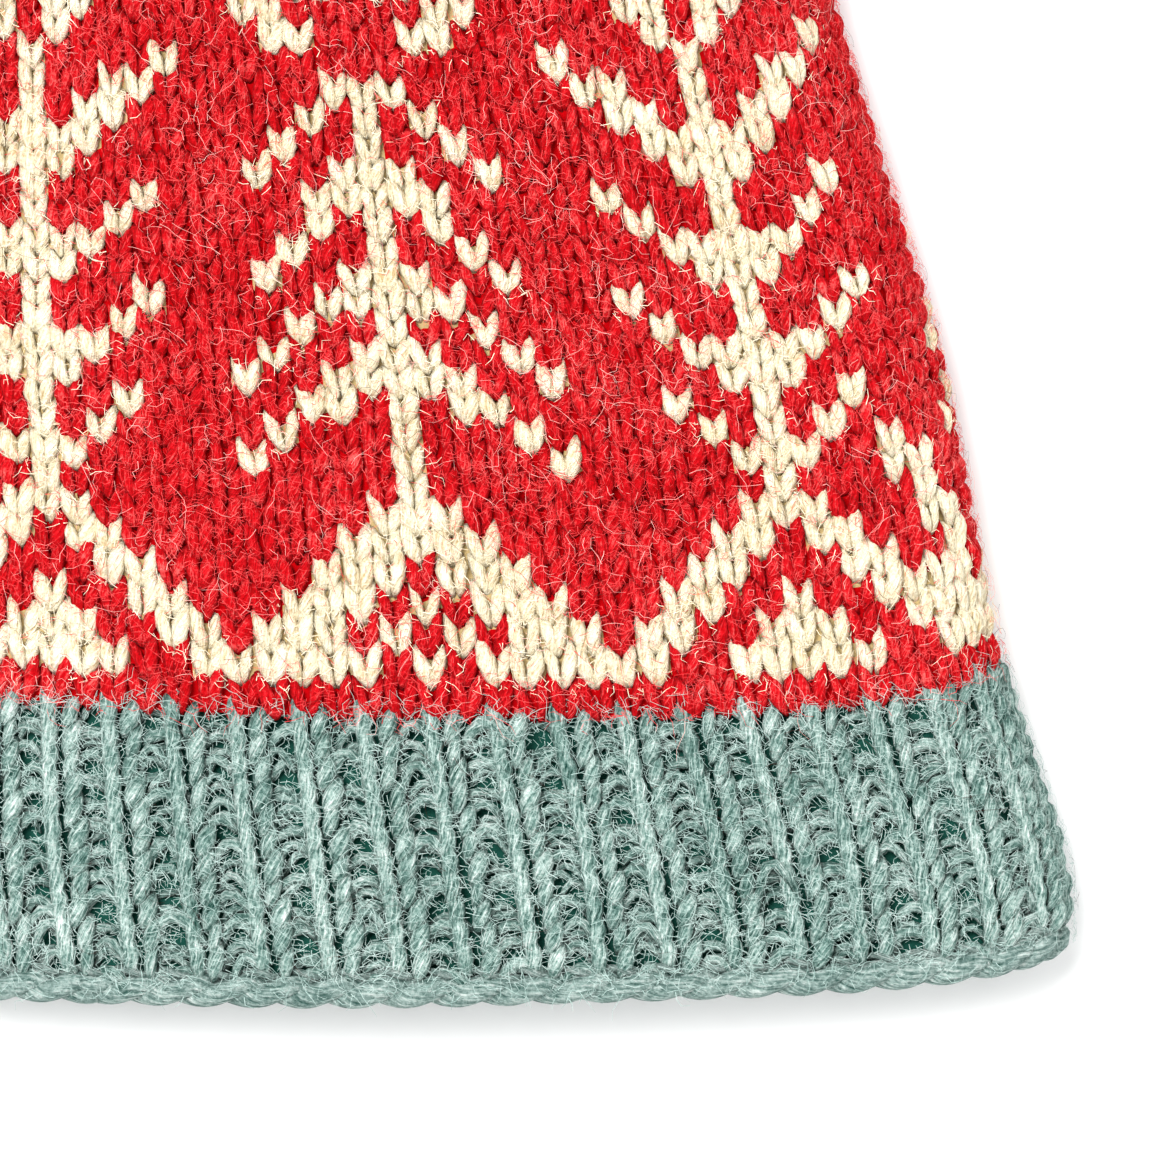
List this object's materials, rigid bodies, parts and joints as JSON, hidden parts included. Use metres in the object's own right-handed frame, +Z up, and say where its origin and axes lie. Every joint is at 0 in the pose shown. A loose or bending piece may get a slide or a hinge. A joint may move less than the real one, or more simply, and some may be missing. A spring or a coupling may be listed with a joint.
{
  "type": "knitted mittens",
  "caption": "Pair of long stranded-knit wool mittens with flared gauntlets, a ribbed cuff, a tree pattern and a separate thumb on each.",
  "frame": {"origin": "middle of the pair's footprint, on the surface the mittens lie on", "axes": "+X across the pair toward the right-hand mitten, +Y from the cuffs toward the finger tips, +Z up, out of the back of the hand"},
  "size_m": [0.3424, 0.2686, 0.022],
  "materials": {
    "red_wool": "felted wool, matte",
    "cream_wool": "felted wool, matte",
    "grey_wool": "heathered wool, matte"
  },
  "bodies": {
    "right_mitten": {"right_cast_on_edge": "grey_wool", "right_ribbed_cuff": "grey_wool", "right_gauntlet": "red_wool", "right_gauntlet_floats": "cream_wool", "right_hand": "red_wool", "right_thumb_gore": "red_wool"},
    "right_thumb": {"right_thumb": "red_wool", "right_thumb_tip": "red_wool"},
    "right_fingers": {"right_fingers": "red_wool", "right_finger_tip": "red_wool"},
    "left_mitten": {"left_cast_on_edge": "grey_wool", "left_ribbed_cuff": "grey_wool", "left_gauntlet": "red_wool", "left_gauntlet_floats": "cream_wool", "left_hand": "red_wool", "left_thumb_gore": "red_wool"},
    "left_thumb": {"left_thumb": "red_wool", "left_thumb_tip": "red_wool"},
    "left_fingers": {"left_fingers": "red_wool", "left_finger_tip": "red_wool"}
  },
  "joints": [
    {"name": "right_thumb_swing", "type": "hinge", "parent": "right_mitten", "child": "right_thumb", "pos_m": [0.03351, 0.01429, 0.008], "axis": [0, 0, 1], "range_deg": [-10, 18]},
    {"name": "right_finger_fold", "type": "hinge", "parent": "right_mitten", "child": "right_fingers", "pos_m": [0.10001, 0.04244, 0.0224], "axis": [1, 0, 0], "range_deg": [0, 65]},
    {"name": "left_away", "type": "slide", "parent": "right_mitten", "child": "left_mitten", "axis": [-1, 0, 0], "range_m": [0, 0.12]},
    {"name": "left_thumb_swing", "type": "hinge", "parent": "left_mitten", "child": "left_thumb", "pos_m": [-0.03351, 0.01429, 0.008], "axis": [0, 0, -1], "range_deg": [-10, 18]},
    {"name": "left_finger_fold", "type": "hinge", "parent": "left_mitten", "child": "left_fingers", "pos_m": [-0.10001, 0.04244, 0.0224], "axis": [1, 0, 0], "range_deg": [0, 65]}
  ]
}
